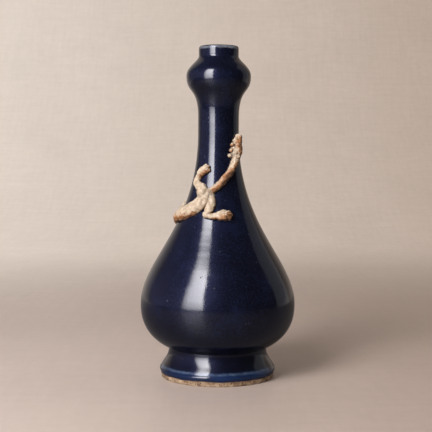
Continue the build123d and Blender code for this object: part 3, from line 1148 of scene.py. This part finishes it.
# --- Dragon lower foreleg -------------------------------------------------------------------
# A thin roll of biscuit clay that reaches down and back from the torso's far end, out of sight
# from in front. It is pressed on like the other legs.
lower_fore_shank = [
    (-116.0, 110.6, 0.9, 2.1, 0.5),
    (-124.0, 109.0, 0.9, 1.9, 0.4),
    (-130.0, 106.2, 0.9, 2.0, 0.4),
    (-131.0, 102.6, 0.9, 2.5, 0.5),
]
mould(
    "dragon_lower_foreleg_roll",
    "dragon_lower_foreleg",
    [
        [
            (-94.0, 116.4, 0.9, 3.3, 0.8),
            (-104.0, 113.0, 1.0, 2.7, 0.6),
            (-116.0, 110.6, 0.9, 2.3, 0.5),
        ],
        lower_fore_shank,
        *toes(lower_fore_shank, 0.5),
    ],
    [torso, nape],
    19,
)


# --- Dragon head ----------------------------------------------------------------------------
# A longer pellet of biscuit clay, with a snout drawn out between the fingers. It is laid flat on
# the wall behind the vase and luted to the neck's end.
head = mould(
    "dragon_head_roll",
    "dragon_head",
    [
        [
            (-136.0, 121.0, 1.6, 3.4, 0.3),
            (-141.0, 124.0, 1.8, 4.5, 0.3),
            (-147.0, 126.8, 1.6, 4.0, 0.35),
            (-152.5, 129.0, 1.1, 2.9, 0.45),
            (-158.0, 130.8, 0.9, 2.7, 0.5),
        ],
    ],
    [nape],
    20,
)


# --- Dragon ears ----------------------------------------------------------------------------
# Two pinched pellets of biscuit clay at the back of the head. They are luted on where the head
# meets the neck.
mould(
    "dragon_ear_pellets",
    "dragon_ears",
    [
        ball(-135.5, 127.6, 2.4, 1.7, 0.4),
        ball(-143.5, 119.6, 2.4, 1.7, 0.4),
    ],
    [head, nape],
    21,
    voxel=0.00014,
    finger_dents=0.00006,
    pinches=0.00005,
    grain=0.00004,
)


# --- Dragon eyes ----------------------------------------------------------------------------
# Two small pellets of biscuit clay, side by side on the top of the head. They are pressed in while
# both are soft.
mould(
    "dragon_eye_pellets",
    "dragon_eyes",
    [
        ball(-144.0, 128.6, 4.9, 1.1, 0.3),
        ball(-148.6, 123.6, 4.9, 1.1, 0.3),
    ],
    [head],
    22,
    voxel=0.0001,
    finger_dents=0.00003,
    pinches=0.00003,
    grain=0.00003,
)
bpy.data.objects.remove(core_shape)


# --- Studio ---------------------------------------------------------------------------------
# A pale sweep of painted linen under and behind the vase, a tall softbox to the left in front, and
# a dim card on the right.
sweep_finish = finish_of("paper_sweep")
tree = sweep_finish.node_tree
in_mirror = knot(tree, "ShaderNodeLightPath").outputs["Is Glossy Ray"]
spot = split(tree, own_place(tree))
# The light falls off to the right
side = spread(tree, spot[0], -0.5, 0.5)
near_side = spread(tree, spot[0], -0.16, 0.16)
tone = ramp(tree, near_side, [(0.0, (0.60, 0.50, 0.45)), (1.0, (0.50, 0.395, 0.335))])


def threads(tree, across, back, up):
    """Noise drawn out into threads, with a scale for each of the object's three ways."""
    where = knot(
        tree,
        "ShaderNodeMapping",
        {"Vector": own_place(tree), "Scale": (across, back, up)},
        vector_type="POINT",
    )
    return ramp(tree, noise(tree, 1.0, 2.0, 0.6, where), [(0.3, 0.982), (0.7, 1.018)])


# The sheet is painted linen: blotches, and threads that run both ways
blotches = ramp(tree, noise(tree, 7.0, 4.0, 0.6), [(0.3, 0.97), (0.7, 1.025)])
warp = threads(tree, 150.0, 14.0, 14.0)
weft = threads(tree, 14.0, 90.0, 150.0)
fleck = ramp(tree, noise(tree, 90.0, 4.0, 0.75), [(0.3, 0.975), (0.7, 1.025)])
linen = times(tree, times(tree, blotches, fleck), times(tree, warp, weft))


def shaded(tree, colour, share):
    """A colour made darker or lighter by a share."""
    return knot(
        tree,
        "ShaderNodeVectorMath",
        {0: colour, "Scale": share},
        operation="SCALE",
    ).outputs[0]


# The glaze mirrors a dimmer sheet than the lens sees, dimmer still toward its sides
dimmed = blended(tree, in_mirror, shaded(tree, tone, linen), (0.17, 0.15, 0.14, 1))
paper = knot(tree, "ShaderNodeBsdfPrincipled", {"Base Color": dimmed, "Roughness": 0.45})
glow = ramp(
    tree,
    side,
    [(0.03, (0.745, 0.648, 0.568)), (0.5, (0.622, 0.52, 0.452)), (0.96, (0.49, 0.395, 0.325))],
)
beside = sums(tree, "ABSOLUTE", spot[0])
mirrored = spread(tree, beside, 0.9, 2.6, 0.75, 0.2)
strength = rest_of(tree, times(tree, in_mirror, rest_of(tree, mirrored)))
lit_paper = knot(
    tree, "ShaderNodeEmission", {"Color": shaded(tree, glow, linen), "Strength": strength}
)
# The lit part of the sheet starts nearer on the left
nearer = spread(tree, spot[0], -0.3, 0.05, 0.22, 0.0)
far_back = spread(
    tree, sums(tree, "ADD", spot[1], nearer), 0.25, 1.15, interpolation_type="SMOOTHSTEP"
)
backdrop = knot(tree, "ShaderNodeMixShader", {0: far_back, 1: paper, 2: lit_paper})
knot(tree, "ShaderNodeOutputMaterial", {"Surface": backdrop})

# The sheet runs on round the vase, so it ends in the glaze as a level line
floor_mesh = bpy.data.meshes.new("paper_sweep")
front, half_width = 2.5, 2.6
bend_starts, bend, back, top = 0.9, 0.8, 1.7, 3.0
across = [half_width * math.sin(a) for a in np.linspace(-math.pi / 2, math.pi / 2, 81)]
rows = [[(x, -math.sqrt(front**2 - x**2) if abs(x) < front else 0.0, 0.0) for x in across]]
profile = [(bend_starts, 0.0)]
profile += [
    (bend_starts + bend * math.sin(a), bend - bend * math.cos(a))
    for a in np.linspace(0.05, math.pi / 2, 24)
]
profile += [(back, top)]
rows += [[(x, y, z) for x in across] for y, z in profile]
wide = len(across)
floor_mesh.from_pydata(
    [point for row in rows for point in row],
    [],
    [
        (wide * i + j, wide * i + j + 1, wide * (i + 1) + j + 1, wide * (i + 1) + j)
        for i in range(len(rows) - 1)
        for j in range(wide - 1)
    ],
)
floor_mesh.materials.append(sweep_finish)
floor_mesh.shade_smooth()
floor = placed("paper_sweep", floor_mesh)


# The softbox's cloth is brightest above its middle and toward the lens, and dim at its rims
cloth = finish_of("softbox_cloth")
tree = cloth.node_tree
place = split(tree, own_place(tree, "UV"))
upward = ramp(
    tree,
    place[1],
    [
        (0.0, 0.28),
        (0.1, 0.54),
        (0.21, 0.79),
        (0.51, 0.94),
        (0.68, 1.0),
        (0.78, 0.83),
        (0.87, 0.49),
        (0.93, 0.33),
        (1.0, 0.15),
    ],
)
lensward = ramp(tree, place[0], [(0.0, 0.1), (0.12, 0.42), (0.3, 0.75), (0.85, 1.0), (1.0, 0.95)])
front_only = rest_of(tree, knot(tree, "ShaderNodeNewGeometry").outputs["Backfacing"])
shine, cloth_radiance = times(tree, times(tree, upward, lensward), front_only), 17.6
bright = knot(
    tree,
    "ShaderNodeEmission",
    {"Color": (0.99, 0.975, 0.985, 1), "Strength": times(tree, shine, cloth_radiance)},
)
knot(tree, "ShaderNodeOutputMaterial", {"Surface": bright})
light_distance = 0.9
turn, half, low, high = math.radians(-37), 0.26, 0.03, 1.4
way = Vector((math.sin(turn), -math.cos(turn), 0))
along = Vector((math.cos(turn), math.sin(turn), 0))
corners = [
    way * light_distance + along * (half * u) + Vector((0, 0, z))
    for u, z in ((-1, low), (1, low), (1, high), (-1, high))
]
cloth_mesh = bpy.data.meshes.new("softbox_cloth")
cloth_mesh.from_pydata([tuple(c) for c in corners], [], [(3, 2, 1, 0)])
sheet_uv = cloth_mesh.uv_layers.new(name="cloth")
for loop, uv in zip(sheet_uv.data, ((0, 1), (1, 1), (1, 0), (0, 0))):
    loop.uv = uv
cloth_mesh.materials.append(cloth)
softbox = placed("softbox_cloth", cloth_mesh)

# A dim card far to the right
card_width, card_height, card_radiance = 0.55, 1.3, 0.25
card = bpy.data.lights.new("side_card", "AREA")
card.shape = "RECTANGLE"
card.size, card.size_y = card_width, card_height
card.energy = card_radiance * math.pi * card_width * card_height
card.color = (0.95, 0.97, 1.0)
card_stand = placed("side_card", card)
turn = math.radians(112)
way = Vector((math.sin(turn), -math.cos(turn), 0))
card_stand.matrix_world = (
    Matrix.Translation(way * light_distance + Vector((0, 0, card_height / 2)))
    @ way.to_track_quat("Z", "Y").to_matrix().to_4x4()
)

world = bpy.data.worlds.new("studio_air")
world.use_nodes = True
tree = world.node_tree
tree.nodes.clear()
in_mirror = knot(tree, "ShaderNodeLightPath").outputs["Is Glossy Ray"]
room = knot(tree, "ShaderNodeBackground", {"Color": (1.0, 0.93, 0.86, 1), "Strength": 0.2})
heading = split(tree, own_place(tree, "Generated"))
# The unlit room that the glaze mirrors is a little brighter on the softbox's side
aside = spread(tree, heading[0], -1.0, 1.0)
room_tone = ramp(
    tree,
    aside,
    [
        (0.0, (0.26, 0.24, 0.36)),
        (0.14, (0.075, 0.07, 0.10)),
        (0.5, (0.065, 0.058, 0.07)),
        (1.0, (0.045, 0.042, 0.04)),
    ],
)
mirror_room = knot(tree, "ShaderNodeBackground", {"Color": room_tone, "Strength": 1.0})
seen = knot(tree, "ShaderNodeMixShader", {0: in_mirror, 1: room, 2: mirror_room})
knot(tree, "ShaderNodeOutputWorld", {"Surface": seen})
bpy.context.scene.world = world

bpy.context.scene.view_settings.view_transform = "Standard"
